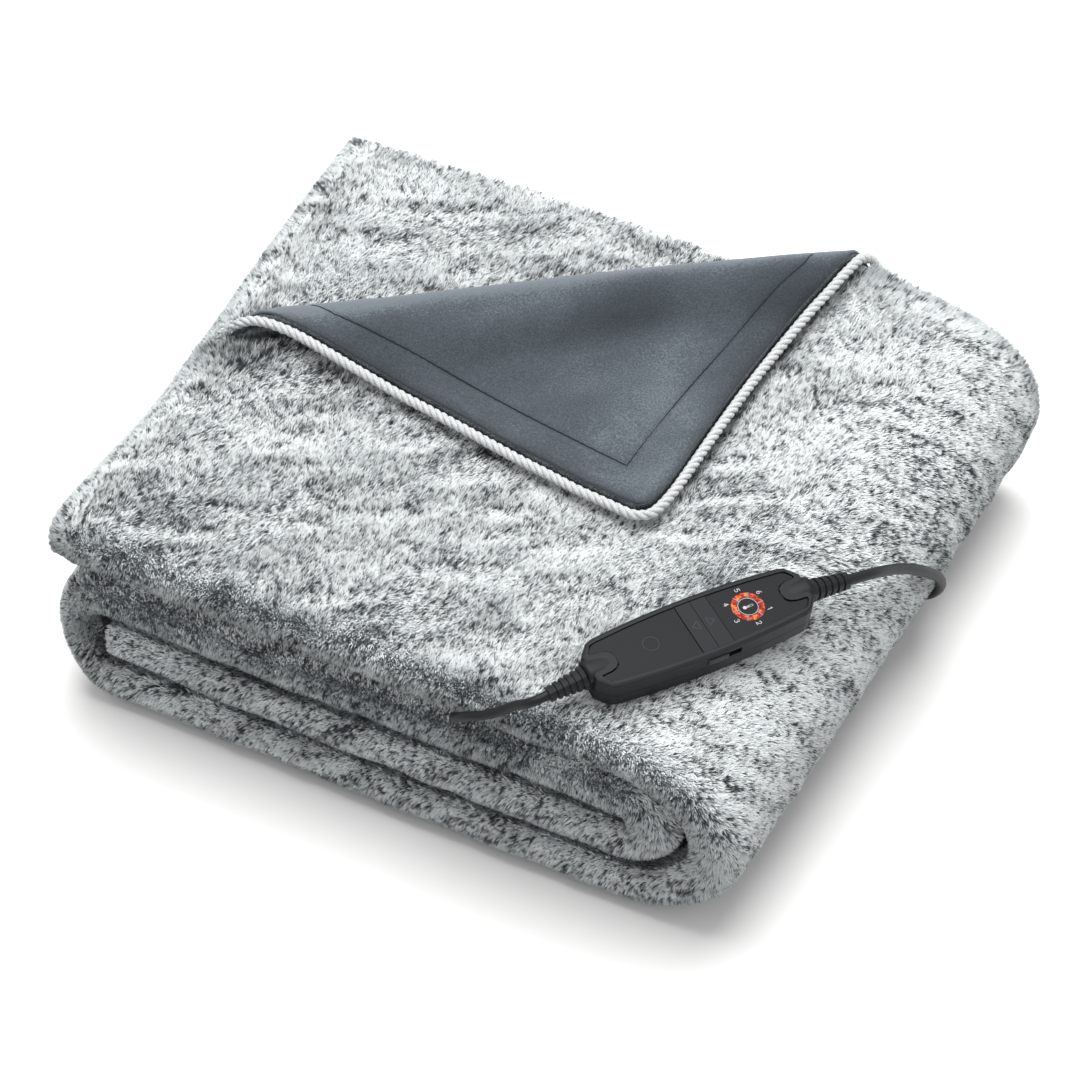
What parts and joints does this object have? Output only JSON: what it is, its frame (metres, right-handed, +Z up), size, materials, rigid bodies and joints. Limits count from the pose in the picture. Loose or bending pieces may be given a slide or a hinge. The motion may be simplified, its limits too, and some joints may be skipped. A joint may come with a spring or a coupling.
{
  "type": "electric heated blanket",
  "caption": "Folded faux-fur heated overblanket with a turned-back velour corner, rope piping, and a corded heat handset resting on top.",
  "frame": {"origin": "centre of the underside of the folded blanket, at the middle of the box round everything but the free cords", "axes": "+Z up, +Y towards the back, away from the fold that faces the viewer, +X to the right along that fold"},
  "size_m": [0.5093, 0.5344, 0.1837],
  "materials": {
    "fur": "deep frosted pile",
    "velour": "short brushed nap",
    "rope": "twisted cord",
    "housing": "fine matt",
    "panel": "satin",
    "keys": "matt",
    "slider": "matt",
    "rubber": "matt",
    "steel": "polished"
  },
  "bodies": {
    "blanket": {"fur_overblanket": "fur", "velour_lining": "velour", "rope_piping": "rope", "handset_base": "housing", "handset_cover": "housing", "plate_left": "panel", "plate_right": "panel", "relief_left": "rubber", "relief_right": "rubber", "cord_blanket": "rubber", "cord_mains": "rubber", "cord_coil": "rubber", "cord_tail": "rubber", "plug": "rubber", "plug_pin_left": "steel", "plug_pin_right": "steel"},
    "key_up": {"button_up": "keys"},
    "key_down": {"button_down": "keys"},
    "switch": {"switch_slider": "slider"}
  },
  "joints": [
    {"name": "key_up_press", "type": "slide", "parent": "blanket", "child": "key_up", "axis": [-0.1045, 0.0175, -0.9944], "range_m": [0, 0.0008], "stiffness_N_per_m": 400},
    {"name": "key_down_press", "type": "slide", "parent": "blanket", "child": "key_down", "axis": [-0.1045, 0.0175, -0.9944], "range_m": [0, 0.0008], "stiffness_N_per_m": 400},
    {"name": "switch_slide", "type": "slide", "parent": "blanket", "child": "switch", "axis": [0.5902, 0.8058, -0.0479], "range_m": [0, 0.009]}
  ]
}
